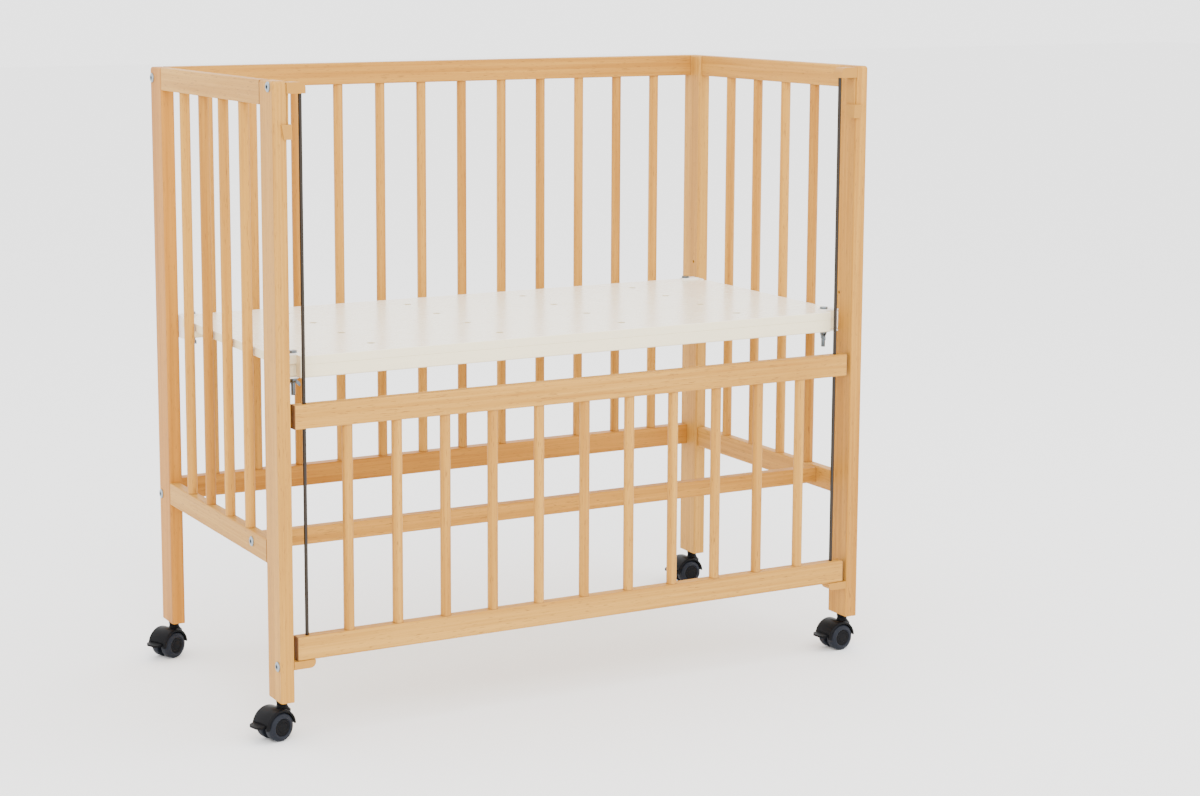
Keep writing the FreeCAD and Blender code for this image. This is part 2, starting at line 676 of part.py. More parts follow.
def make_wheel(label, way):
    """One wheel turned from its section: tread with a sloped shoulder, sunk hub disc."""
    body = body_named(label)
    sketch = sketch_on(body, "XY_Plane")
    bore = S.axle_diameter / 2 + S.running_clearance
    inner = -S.wheel_width / 2 * way
    outer = S.wheel_width / 2 * way
    hub = S.hub_diameter / 2
    sunk = outer - S.hub_recess * way
    add_outline(sketch, [(bore, inner), (WHEEL_RADIUS, inner),
                         (WHEEL_RADIUS, outer - S.tread_shoulder * way),
                         (WHEEL_RADIUS - S.tread_shoulder, outer), (hub, outer), (hub, sunk),
                         (bore, sunk)])
    turn = body.newObject("PartDesign::Revolution", label + "_turn")
    turn.Profile = sketch
    turn.ReferenceAxis = (sketch, ["V_Axis"])
    turn.Angle = 360
    doc.recompute()


def make_pedal(label):
    """The brake pedal: a plate behind the hood, an arm to the pivot and a curved shoe."""
    body = body_named(label)
    shoe_in = WHEEL_RADIUS + S.shoe_gap
    shoe_out = shoe_in + S.shoe_thickness
    half = S.shoe_width / 2
    sketch = sketch_on(body, "XY_Plane")
    add_outline(sketch, box_outline(-shoe_out, -half, -shoe_in, half))
    shoe = body.newObject("PartDesign::Revolution", label + "_shoe")
    shoe.Profile = sketch
    shoe.ReferenceAxis = (sketch, ["V_Axis"])
    shoe.setExpression("Angle", S.shoe_angle.text)
    doc.recompute()
    end = -(S.hood_radius + S.pedal_length)
    sketch = sketch_on(body, "XZ_Plane")
    add_outline(sketch, [(end, S.pedal_rise), (-shoe_in, S.pedal_rise), (-shoe_in, PEDAL_TOP),
                         (-S.hood_radius, PEDAL_TOP), (end, PEDAL_TOP - S.swing_gap)])
    pad(sketch, S.pedal_width, both=True)
    tip = end.value + 0.01

    def tip_corner(edge):
        return along("z")(edge) and edge.BoundBox.XMax < tip

    round_edges(body, S.pedal_corner, tip_corner)
    sketch = sketch_on(body, "XZ_Plane")
    across, rise = S.arm_across, S.arm_rise
    add_outline(sketch, [(across - S.pivot_back, S.pivot_rise - rise),
                         (-across - S.pivot_back, S.pivot_rise + rise),
                         (-shoe_out, PEDAL_TOP), (S.swing_gap - WHEEL_RADIUS, S.pedal_rise)])
    pad(sketch, S.arm_width, both=True)
    eye = add_circle(sketch_on(body, "XZ_Plane"), -S.pivot_back, S.pivot_rise, S.arm_radius)
    pad(eye, S.arm_width, both=True)
    hole = S.pivot_radius + S.running_clearance
    sketch = add_circle(sketch_on(body, "XZ_Plane"), -S.pivot_back, S.pivot_rise, hole)
    pocket(sketch, S.arm_width * 2, both=True)


stems = []
for name, x, y, yaw in (
        ("front_left", 0, 0, S.yaw_front_left), ("back_left", 0, BACK_Y, S.yaw_back_left),
        ("front_right", RIGHT_X, 0, S.yaw_front_right),
        ("back_right", RIGHT_X, BACK_Y, S.yaw_back_right)):
    stem_x = S.leg_thickness / 2 + x
    stem_y = S.leg_breadth / 2 + y
    stems.append(primitive("Cylinder", at=(stem_x, stem_y, S.press_gap - S.stem_seat),
                           Radius=S.stem_diameter / 2, Height=S.stem_seat + S.stem_length))
    axle_x = stem_x - S.castor_trail * cos_of(yaw)
    axle_y = stem_y - S.castor_trail * sin_of(yaw)
    hood, pedal, axle = (f"{name}_castor_{part}" for part in ("hood", "pedal", "axle"))
    make_hood(hood)
    make_pedal(pedal)
    body = body_named(axle)
    sketch = add_circle(sketch_on(body, "XZ_Plane"), 0, 0, S.axle_diameter / 2)
    pad(sketch, S.wheel_gap + 2 * (S.wheel_width - S.hub_recess - S.swivel_gap), both=True)
    for label in (hood, pedal, axle):
        set_node(label, axle_x, axle_y, -LEG_FOOT, yaw)
    for side, way in (("left", 1), ("right", -1)):
        label = f"{name}_castor_{side}_wheel"
        make_wheel(label, way)
        offset = (S.wheel_gap + S.wheel_width) / 2 * way
        set_node(label, axle_x - offset * sin_of(yaw), axle_y + offset * cos_of(yaw),
                 -LEG_FOOT, yaw)
group_node("castor_stems", stems)


# ---------------------------------------------------------------- origin, checks, files
def overall_box():
    whole = FreeCAD.BoundBox()
    for item in nodes.values():
        whole.add(item.Shape.optimalBoundingBox(False, False))
    return whole


def check_everything():
    for item in doc.Objects:
        if "Invalid" in item.State or "Error" in item.State:
            raise RuntimeError(f"{item.Label} failed: {item.State}")
    for label, item in nodes.items():
        if item.Shape.isNull() or not item.Shape.isValid() or not item.Shape.Solids:
            raise RuntimeError(f"{label} has no valid solid")


doc.recompute()
check_everything()
box = overall_box()
centre = ((box.XMin + box.XMax) / 2, (box.YMin + box.YMax) / 2, box.ZMin)
for axis, place_now in zip("xyz", centre):
    sheet.set(sheet.getCellFromAlias(f"origin_{axis}"), f"{place_now:.6f}")
doc.recompute()
check_everything()
box = overall_box()
print("origin in the crib frame:", ", ".join(f"{value:.4f}" for value in centre))
print(f"box: x {box.XMin:.3f} {box.XMax:.3f}  y {box.YMin:.3f} {box.YMax:.3f}  "
      f"z {box.ZMin:.3f} {box.ZMax:.3f}")
for label, item in nodes.items():
    item.Shape.exportStep(f"parts/{label}.step")
print(len(nodes), "nodes written")
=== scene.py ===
import json
import math

import bmesh
import bpy
from mathutils import Matrix, Vector


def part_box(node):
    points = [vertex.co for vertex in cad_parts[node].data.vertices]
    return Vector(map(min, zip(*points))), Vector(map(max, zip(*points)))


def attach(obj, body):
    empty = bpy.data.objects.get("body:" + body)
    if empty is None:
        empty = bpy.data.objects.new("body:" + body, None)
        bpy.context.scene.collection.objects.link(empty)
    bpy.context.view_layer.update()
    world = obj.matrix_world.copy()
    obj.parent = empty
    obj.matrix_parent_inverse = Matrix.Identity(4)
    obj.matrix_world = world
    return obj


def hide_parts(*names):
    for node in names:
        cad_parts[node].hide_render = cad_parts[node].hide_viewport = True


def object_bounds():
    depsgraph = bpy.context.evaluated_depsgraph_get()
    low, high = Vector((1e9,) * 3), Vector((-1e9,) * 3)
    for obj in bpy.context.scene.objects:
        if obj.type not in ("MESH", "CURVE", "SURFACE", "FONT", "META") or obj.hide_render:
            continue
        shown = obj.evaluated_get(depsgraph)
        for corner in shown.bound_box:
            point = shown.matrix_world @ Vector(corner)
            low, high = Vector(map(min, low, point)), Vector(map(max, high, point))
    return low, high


bl_info = {
    "name": "Bedside sleeper crib",
    "version": (1, 0, 0),
    "blender": (4, 5, 0),
    "location": "View3D > Sidebar > Crib",
    "description": "Finishes a beech bedside crib: wood, board, castors, fittings and stage",
    "category": "Object",
}

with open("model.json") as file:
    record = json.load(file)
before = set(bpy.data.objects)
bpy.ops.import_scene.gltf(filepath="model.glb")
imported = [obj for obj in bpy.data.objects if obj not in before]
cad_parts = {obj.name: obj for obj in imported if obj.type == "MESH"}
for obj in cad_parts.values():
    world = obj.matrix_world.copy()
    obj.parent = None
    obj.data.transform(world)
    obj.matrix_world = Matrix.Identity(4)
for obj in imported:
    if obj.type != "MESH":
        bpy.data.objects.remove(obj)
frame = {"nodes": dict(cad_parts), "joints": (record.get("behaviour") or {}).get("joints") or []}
NODES = frame["nodes"]
CAD_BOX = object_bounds()
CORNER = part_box("front_left_leg")[0]
CORNERS = ("front_left", "back_left", "front_right", "back_right")
MM = 0.001

# castors and nuts, in millimetres: a wheel reaches along its axle from inner to outer
WHEEL_RADIUS, WHEEL_INNER, WHEEL_OUTER, HUB_RADIUS = 20.0, 4.0, 19.0, 12.0
HOOD_OUTER, HOOD_INNER, HOOD_HALF, HOOD_SHIFT = 25.0, 22.5, 18.0, -0.8
WEB_HALF, AXLE_HOLE, STEM_HOLE, STEM_AHEAD = 3.5, 2.1, 4.2, 13.0
BOLT_HOLE, MERGE_DISTANCE = 3.1, 0.004

# the camera, fitted to the frame's edges in the 1200 x 796 image
IMAGE_WIDTH, IMAGE_HEIGHT, SENSOR = 1200, 796, 36.0
FOCAL_PIXELS, OPTICAL_CENTRE = 2352.51, (505.0, 310.0)
YAW, PITCH, ROLL = -27.3858, 8.4635, -0.0463
STAND = (-1145.41, -2869.98, 998.08)


# ---------------------------------------------------------------- places and sizes
def crib(x, y, z):
    """A place in metres from the crib's own millimetres, counted from the left front leg."""
    return CORNER + Vector((x, y, z)) * MM


def tone(red, green, blue):
    """A screen colour of 0 to 255 a channel as Blender's linear colour."""
    def channel(value):
        value /= 255
        return value / 12.92 if value <= 0.04045 else ((value + 0.055) / 1.055) ** 2.4
    return channel(red), channel(green), channel(blue)


def joint(name):
    return next(item for item in frame["joints"] if item["name"] == name)


def colour(label, help_text, default):
    return bpy.props.FloatVectorProperty(name=label, description=help_text, subtype="COLOR",
                                         size=3, min=0.0, max=1.0, default=default)


def length(label, help_text, default):
    return bpy.props.FloatProperty(name=label, description=help_text, subtype="DISTANCE",
                                   unit="LENGTH", min=0.0, default=default)


class CribColours(bpy.types.PropertyGroup):
    beech_light: colour("Beech, light", "Light tone between the growth lines",
                        tone(197, 145, 62))
    beech_dark: colour("Beech, dark", "Dark tone in the growth lines", tone(168, 115, 41))
    beech_fleck: colour("Beech flecks", "The short dark flecks along the grain",
                        tone(112, 74, 36))
    # End grain's own darker tone, also used as painted shade: the thin dark lines at the joints
    # and the shadowed ends of the drop side.
    beech_end_and_joint_shade: colour("Beech cut ends", "End grain and the lines at the joints",
                      tone(104, 74, 54))
    board: colour("Board", "Face of the sleeping board", tone(249, 240, 216))
    board_edge: colour("Board edge", "Edges of the sleeping board and its rails",
                       tone(238, 226, 190))
    vent: colour("Vent wood", "Raw wood inside the board's vents", tone(206, 188, 138))
    # Painted shade: a darker tone along the bottom edge of the base's rails.
    foot_shade: colour("Shaded paint", "Darker foot of the base's rails", tone(190, 168, 132))
    plastic: colour("Beige plastic", "Caps, catches and rod feet", tone(173, 122, 46))
    nylon: colour("Black nylon", "Castor hoods, pedals and hubs", tone(12, 12, 14))
    tread: colour("Slate tread", "Rubber tread of the castor wheels", tone(20, 23, 31))
    zinc: colour("Zinc", "Plated bolt heads, stems and axles", tone(150, 161, 169))
    nut: colour("Nut zinc", "Duller zinc of the base's bolts and wing nuts",
                tone(104, 112, 116))
    # Painted shade: a darker zinc inside the bolts' sockets, for the shade in the deep hole.
    socket: colour("Socket steel", "Inside of the bolts' sockets", tone(96, 108, 114))
    rod: colour("Rod steel", "The two guide rods", tone(60, 55, 50))
    paint: colour("White paint", "The painted brackets of the base", tone(244, 242, 236))
    floor: colour("Floor", "The pale studio floor", (0.95, 0.95, 0.95))


class CribSizes(bpy.types.PropertyGroup):
    bolt_head: length("Bolt head", "Radius of the flat bolt heads", 7.0 * MM)
    bolt_rise: length("Bolt head height", "How far a bolt head stands proud", 2.2 * MM)
    strap: length("Strap width", "Width of the brackets' straps", 18.0 * MM)
    tread_round: length("Tread rounding", "Radius of the wheels' shoulders", 4.6 * MM)
    hood_round: length("Hood rounding", "Radius of the castor hoods' rims", 2.2 * MM)


class StageSettings(bpy.types.PropertyGroup):
    floor_size: length("Floor size", "Width of the studio floor", 40.0)
    key_power: bpy.props.FloatProperty(name="Key light", unit="POWER", default=80.0, min=0.0,
                                       description="Power of the large light at the front left")
    fill_power: bpy.props.FloatProperty(name="Fill light", unit="POWER", default=20.0, min=0.0,
                                        description="Power of each soft light, right and above")
    sky: bpy.props.FloatProperty(name="Sky", description="Strength of the even white sky",
                                 default=2.8, min=0.0)


# ---------------------------------------------------------------- shader expressions
class Wire:
    """A shader socket that takes part in sums; each sum adds its Math node."""

    def __init__(self, tree, socket):
        self.tree = tree
        self.socket = socket

    def maths(self, operation, *values, clamp=False):
        node = self.tree.nodes.new("ShaderNodeMath")
        node.operation = operation
        node.use_clamp = clamp
        for socket, value in zip(node.inputs, values):
            join(self.tree, value, socket)
        return Wire(self.tree, node.outputs[0])

    def __add__(self, other):
        return self.maths("ADD", self, other)

    def __sub__(self, other):
        return self.maths("SUBTRACT", self, other)

    def __rsub__(self, other):
        return self.maths("SUBTRACT", other, self)

    def __mul__(self, other):
        return self.maths("MULTIPLY", self, other)

    def above(self, edge, soft):
        """0 below the edge, 1 once past it by soft."""
        return self.maths("MULTIPLY_ADD", self, 1 / soft, -edge / soft, clamp=True)

    __radd__ = __add__
    __rmul__ = __mul__


def join(tree, value, socket):
    """Link a wire to a socket, or set a plain number or colour on it."""
    if isinstance(value, Wire):
        tree.links.new(value.socket, socket)
    elif hasattr(value, "__len__") and len(socket.default_value) == 4 and len(value) == 3:
        socket.default_value = (*value, 1.0)
    else:
        socket.default_value = value


class Finish:
    """One material under construction: its node tree and its principled shader."""

    def __init__(self, name, **shader):
        self.material = bpy.data.materials.new(name)
        self.material.use_nodes = True
        self.tree = self.material.node_tree
        self.shader = self.tree.nodes["Principled BSDF"]
        self.set(**shader)

    def set(self, **shader):
        for key, value in shader.items():
            join(self.tree, value, self.shader.inputs[key.replace("_", " ")])

    def node(self, kind, output=0, settings=None, numbered=None, **named):
        """A node by type: its settings first, then its sockets' values or links."""
        node = self.tree.nodes.new("ShaderNode" + kind)
        for key, value in (settings or {}).items():
            setattr(node, key, value)
        for index, value in (numbered or {}).items():
            join(self.tree, value, node.inputs[index])
        for key, value in named.items():
            join(self.tree, value, node.inputs[key.replace("_", " ")])
        return Wire(self.tree, node.outputs[output])

    def place(self, scale=(1, 1, 1), offset=(0, 0, 0)):
        """Object coordinates, scaled and moved for a pattern."""
        point = self.node("TexCoord", "Object")
        return self.node("Mapping", Vector=point, Location=offset, Scale=scale)

    def noise(self, vector, scale, detail=2.0, rough=0.5):
        return self.node("TexNoise", Vector=vector, Scale=scale, Detail=detail,
                         Roughness=rough)

    def mix(self, factor, first, second):
        """Two colours mixed by a factor; a Mix node's colour sockets go by number."""
        return self.node("Mix", 2, {"data_type": "RGBA"}, {0: factor, 6: first, 7: second})

    def axis(self, point, name):
        """One coordinate of a point."""
        return self.node("SeparateXYZ", name, Vector=point)

    def bump(self, height, strength, distance):
        return self.node("Bump", Height=height, Strength=strength, Distance=distance)


# ---------------------------------------------------------------- finishes
def beech(name, grain, shift, warmth, spread, ends, end_and_joint_shade):
    """Lacquered beech: bands, growth lines and flecks along the grain; darker end grain on the
    cut ends, and painted shade in a thin line at each joint.
    """
    colours = bpy.context.scene.crib_colours
    finish = Finish(name, Coat_Weight=0.05, Coat_Roughness=0.35, Specular_IOR_Level=0.16)

    def along(across_scale, grain_scale):
        return [grain_scale if axis == grain else across_scale for axis in "xyz"]

    offset = (shift, shift * 0.7, shift * 1.3)
    piece = finish.noise(finish.place(along(27, 0), offset), 1.0, 1.0)
    band = finish.noise(finish.place(along(14, 1.1), offset), 1.0, 2.0)
    lines = finish.noise(finish.place(along(170, 2.6), offset), 1.0, 4.0, 0.6)
    fine = finish.noise(finish.place(along(640, 9), offset), 1.0, 3.0, 0.55)
    fleck = finish.noise(finish.place(along(820, 70), offset), 1.0, 1.0)
    flecks = fleck.above(0.65, 0.06)
    depth = (lines - 0.5) * 1.6 + (band - 0.5) * 1.2 + (fine - 0.5) * 0.5 + 0.5
    depth = depth + (piece - 0.5) * spread
    light = tuple(min(1.0, c * (1 + warmth * k))
                  for c, k in zip(colours.beech_light, (-0.05, -0.17, -0.42)))
    dark = tuple(min(1.0, c * (1 + warmth * k))
                 for c, k in zip(colours.beech_dark, (-0.08, -0.2, -0.42)))
    wood = finish.mix(depth.above(0.12, 0.76), light, dark)
    wood = finish.mix(flecks * 0.55, wood, tuple(colours.beech_fleck))
    # Painted shade: the end colour covers the cut ends and a band about a millimetre wide by
    # each end, a dark line where the piece meets its neighbour.
    if end_and_joint_shade:
        place = finish.axis(finish.place(), grain.upper())
        between = place.above(ends[0] + 0.0004, 0.001) - place.above(ends[1] - 0.0014, 0.001)
        wood = finish.mix((1 - between) * end_and_joint_shade, wood, tuple(colours.beech_end_and_joint_shade))
    bump = finish.bump(lines + flecks * -0.6 + fine * 0.5, 0.16, 0.0004)
    finish.set(Base_Color=wood, Roughness=fine * 0.16 + 0.42, Normal=bump)
    return finish.material


def painted_board(name, low, high):
    """White faced board: faint mottle on the faces, duller edges, beige in the vents."""
    colours = bpy.context.scene.crib_colours
    finish = Finish(name, Coat_Weight=0.3, Coat_Roughness=0.22, Specular_IOR_Level=0.5)
    mottle = finish.noise(finish.place(), 26, 3.0)
    grain = finish.noise(finish.place((9, 260, 260)), 1.0, 3.0)
    point = finish.place()
    edge = 1 - finish.axis(point, "Z").above(high.z - 0.0012, 0.001)
    inner = edge
    for name_of_axis, start, stop in (("X", low.x, high.x), ("Y", low.y, high.y)):
        place = finish.axis(point, name_of_axis)
        inner = inner * place.above(start + 0.03, 0.002) * (1 - place.above(stop - 0.032, 0.002))
    face = finish.mix(mottle * 0.5, tuple(colours.board),
                      tuple(c * 0.965 for c in colours.board))
    side = finish.mix(grain * 0.6, tuple(colours.board_edge),
                      tuple(c * 0.9 for c in colours.board_edge))
    paint = finish.mix(edge, face, side)
    paint = finish.mix(inner * 0.9, paint, tuple(colours.vent))
    finish.set(Base_Color=paint, Roughness=mottle * 0.1 + edge * 0.16 + 0.22,
               Normal=finish.bump(mottle + grain * 0.3, 0.05, 0.0003))
    return finish.material


def base_timber(name, foot_level):
    """White painted softwood: faint grain through the paint, painted shade along the foot."""
    colours = bpy.context.scene.crib_colours
    finish = Finish(name, Coat_Weight=0.08, Coat_Roughness=0.4)
    grain = finish.noise(finish.place((7, 210, 210)), 1.0, 4.0)
    mottle = finish.noise(finish.place(), 34, 2.0)
    paint = finish.mix(grain * 0.7, tuple(min(1, c * 1.03) for c in colours.board_edge),
                       tuple(c * 0.9 for c in colours.board_edge))
    # Painted shade: the bottom millimetre or two of each rail turns darker, for the shaded lower
    # arris.
    foot_shade = 1 - finish.axis(finish.place(), "Z").above(foot_level + 0.0003, 0.0014)
    paint = finish.mix(foot_shade * 0.5, paint, tuple(colours.foot_shade))
    finish.set(Base_Color=paint, Roughness=mottle * 0.12 + 0.42,
               Normal=finish.bump(grain, 0.12, 0.0003))
    return finish.material


def moulded(name, base, rough, grain_size, depth, gloss, spread):
    """Moulded plastic: spark-eroded skin and faint flow marks."""
    finish = Finish(name, Specular_IOR_Level=gloss)
    skin = finish.noise(finish.place(), grain_size, 2.0, 0.6)
    flow = finish.noise(finish.place((1, 1, 3)), 90, 2.0)
    shade = finish.mix(flow * 0.7, tuple(c * (1 + spread) for c in base),
                       tuple(c * (1 - spread) for c in base))
    finish.set(Base_Color=shade, Roughness=skin * 0.16 + rough,
               Normal=finish.bump(skin + flow * 0.3, depth, 0.0002))
    return finish.material


def enamel(name):
    """White stoved paint on steel, with a slight orange-peel skin."""
    paint = bpy.context.scene.crib_colours.paint
    finish = Finish(name, Specular_IOR_Level=0.3, Coat_Weight=0.1, Coat_Roughness=0.3)
    peel = finish.noise(finish.place(), 420, 2.0)
    cloud = finish.noise(finish.place(), 45, 2.0)
    finish.set(Base_Color=finish.mix(cloud * 0.6, tuple(paint), tuple(c * 0.9 for c in paint)),
               Roughness=peel * 0.1 + 0.3, Normal=finish.bump(peel, 0.1, 0.0002))
    return finish.material


def plated(name, base, rough, streak, cloud=0.6):
    """Plated steel: fine streaks and a patchy passivation tint."""
    finish = Finish(name, Metallic=1.0)
    streaks = finish.noise(finish.place(streak), 1.0, 4.0, 0.6)
    patches = finish.noise(finish.place(), 60, 2.0)
    tinted = tuple(c * k for c, k in zip(base, (0.84, 0.86, 0.92)))
    metal = finish.mix(patches * cloud, tuple(base), tinted)
    finish.set(Base_Color=metal, Roughness=streaks * 0.2 + patches * (cloud * 0.15) + rough,
               Normal=finish.bump(streaks, 0.08, 0.0001))
    return finish.material


def rubber_tread(name):
    """Soft slate-blue tread, a little dusty."""
    colours = bpy.context.scene.crib_colours
    finish = Finish(name, Specular_IOR_Level=0.16)
    dust = finish.noise(finish.place(), 150, 3.0, 0.6)
    speck = finish.noise(finish.place(), 1400, 1.0)
    rubber = finish.mix(dust.above(0.4, 0.4) * 0.5, tuple(colours.tread),
                        tuple(min(1.0, c * 1.35 + 0.004) for c in colours.tread))
    finish.set(Base_Color=rubber, Roughness=dust * 0.16 + 0.46,
               Normal=finish.bump(speck, 0.1, 0.0001))
    return finish.material


def dress(node, material):
    """Give a kept CAD node its finish."""
    item = NODES[node]
    if not item.material_slots:
        item.data.materials.append(material)
    for material_slot in item.material_slots:
        material_slot.material = material


# ---------------------------------------------------------------- mesh tools
def turned(bm, profile, axis="z", arc=math.tau, start=0.0, steps=32, ring=True):
    """A profile of (radius, along) pairs turned round y or z; a part turn is capped."""
    along = Vector((0, 1, 0) if axis == "y" else (0, 0, 1))
    radial = Matrix.Rotation(start, 3, along) @ Vector((1, 0, 0))
    verts = [bm.verts.new(radial * radius + along * place) for radius, place in profile]
    loop = list(zip(verts, verts[1:] + verts[:1]))
    edges = [bm.edges.new(pair) for pair in (loop if ring else loop[:-1])]
    full = abs(arc - math.tau) < 1e-6
    if not full:
        cap = bm.faces.new(verts)
        edges = list(cap.edges)
    made = bmesh.ops.spin(bm, geom=edges + verts, cent=(0, 0, 0), axis=along, angle=arc,
                          steps=steps, use_merge=full)
    if not full:
        ends = [e for e in made["geom_last"] if isinstance(e, bmesh.types.BMEdge)]
        bmesh.ops.contextual_create(bm, geom=ends)
    return bm


def block(bm, low, high, radius=0.0, segments=3, pick=None):
    """A box between two corners, with the edges that pick accepts rounded."""
    made = bmesh.ops.create_cube(bm, size=1.0)["verts"]
    low, high = Vector(low), Vector(high)
    bmesh.ops.scale(bm, vec=high - low, verts=made)
    bmesh.ops.translate(bm, vec=(low + high) / 2, verts=made)
    if radius:
        edges = {edge for vert in made for edge in vert.link_edges}
        round_edges(bm, [edge for edge in edges if pick(edge)], radius, segments)
    return bm


def merge_into(bm, other):
    """Add another mesh to this one."""
    mesh = bpy.data.meshes.new("join")
    other.to_mesh(mesh)
    other.free()
    bm.from_mesh(mesh)
    bpy.data.meshes.remove(mesh)


def round_edges(bm, edges, radius, segments):
    """Round the given edges."""
    bmesh.ops.bevel(bm, geom=edges, offset=radius, segments=segments, profile=0.5,
                    affect="EDGES", material=-1)


def length_along(edge, axis):
    """How far an edge runs along x, y or z."""
    return abs(getattr(edge.verts[0].co - edge.verts[1].co, axis))


def bolt_head(bm, radius, rise):
    """A flat round head standing on z = 0, with a chamfered rim and a hexagon socket."""
    turned(bm, [(radius * 0.5, rise), (radius * 0.8, rise), (radius, rise * 0.6),
                (radius, 0)], "z", steps=24, ring=False)
    rim = [edge for edge in bm.edges if edge.is_boundary
           and all(vert.co.z > rise * 0.99 for vert in edge.verts)]
    corners = bmesh.ops.create_circle(bm, segments=6, radius=radius * 0.34)["verts"]
    bmesh.ops.translate(bm, vec=(0, 0, rise), verts=corners)
    bmesh.ops.subdivide_edges(bm, edges=[edge for edge in bm.edges if edge.is_wire], cuts=3)
    socket = [edge for edge in bm.edges if edge.is_wire]
    bmesh.ops.bridge_loops(bm, edges=rim + socket)
    wall = bmesh.ops.extrude_edge_only(bm, edges=socket)["geom"]
    foot = [item for item in wall if isinstance(item, bmesh.types.BMVert)]
    bmesh.ops.translate(bm, vec=(0, 0, -rise * 0.8), verts=foot)
    floor = [edge for edge in bm.edges if edge.is_boundary
             and all(vert in foot for vert in edge.verts)]
    bmesh.ops.contextual_create(bm, geom=floor)
    bmesh.ops.contextual_create(bm, geom=[edge for edge in bm.edges if edge.is_boundary])
    # Painted shade: the socket's walls and floor take the second, darker material.
    for face in bm.faces:
        middle = face.calc_center_median()
        if middle.xy.length < radius * 0.36 and 0 < middle.z:
            face.material_index = 1
    return bm


def finish_piece(name, bm, place, material, body, stands_for=(), crease=38):
    """Turn a mesh modelled in millimetres into a finished piece that rides on its body."""
    bmesh.ops.remove_doubles(bm, verts=bm.verts, dist=MERGE_DISTANCE)
    for face in bm.faces:
        face.smooth = True
    for edge in bm.edges:
        sharp = len(edge.link_faces) == 2 and edge.calc_face_angle() > math.radians(crease)
        edge.smooth = not sharp
    bmesh.ops.transform(bm, matrix=place @ Matrix.Scale(MM, 4), verts=bm.verts)
    bmesh.ops.recalc_face_normals(bm, faces=bm.faces)
    mesh = bpy.data.meshes.new(name)
    bm.to_mesh(mesh)
    bm.free()
    piece = bpy.data.objects.new(name, mesh)
    for item in material if isinstance(material, (list, tuple)) else (material,):
        mesh.materials.append(item)
    bpy.context.scene.collection.objects.link(piece)
    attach(piece, body)
    if stands_for:
        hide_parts(*stands_for)
    return piece


def shared(name):
    """A material made earlier by its own function, looked up by name."""
    return bpy.data.materials[name]


# ---------------------------------------------------------------- operators
class CRIB_OT_timbers(bpy.types.Operator):
    """Finish the beech legs, rails and dowels, each with its own cut of grain"""
    bl_idname = "crib.timbers"
    bl_label = "Timbers"

    def execute(self, context):
        groups = {
            "z": ("front_left_leg", "back_left_leg", "front_right_leg", "back_right_leg",
                  "left_end_slats", "right_end_slats", "back_slats", "drop_side_slats"),
            "x": ("back_top_rail", "back_bottom_rail", "front_stretcher",
                  "drop_side_top_rail", "drop_side_bottom_rail"),
            "y": ("left_end_top_rail", "left_end_bottom_rail", "right_end_top_rail",
                  "right_end_bottom_rail")}
        warmth = {
            "back_left_leg": 1.2, "back_right_leg": -0.2, "front_right_leg": 0.3,
            "back_top_rail": 0.2, "back_bottom_rail": 0.8, "front_stretcher": 0.3,
            "left_end_slats": 0.4, "right_end_slats": 0.35, "back_slats": 0.3,
            "drop_side_slats": 0.0, "left_end_top_rail": -0.3, "left_end_bottom_rail": -0.6,
            "drop_side_top_rail": -0.2, "drop_side_bottom_rail": -0.3}
        for grain, group in groups.items():
            for number, node in enumerate(group):
                # How strongly the end colour is laid on: painted joint shade, strongest on the
                # drop side, whose ends are painted as dark as the shaded gap by the legs.
                spread, end_and_joint_shade = 0.2, 0.45
                if "slats" in node:
                    spread = 1.5
                elif "leg" in node:
                    end_and_joint_shade = 0.0
                elif "drop_side" in node:
                    end_and_joint_shade = 0.85
                ends = [corner["xyz".index(grain)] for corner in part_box(node)]
                dress(node, beech("beech_" + node, grain, 3.7 * number + 1.3,
                                  warmth.get(node, 0.1), spread, ends, end_and_joint_shade))
        return {"FINISHED"}


class CRIB_OT_base(bpy.types.Operator):
    """Finish the white sleeping board, its rails and its corner blocks"""
    bl_idname = "crib.base"
    bl_label = "Sleeping base"

    def execute(self, context):
        low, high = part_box("mattress_board")
        dress("mattress_board", painted_board("white_board", low, high))
        timber = base_timber("painted_timber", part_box("base_front_rail")[0].z)
        for node in ("base_front_rail", "base_back_rail", "base_corner_blocks"):
            dress(node, timber)
        return {"FINISHED"}


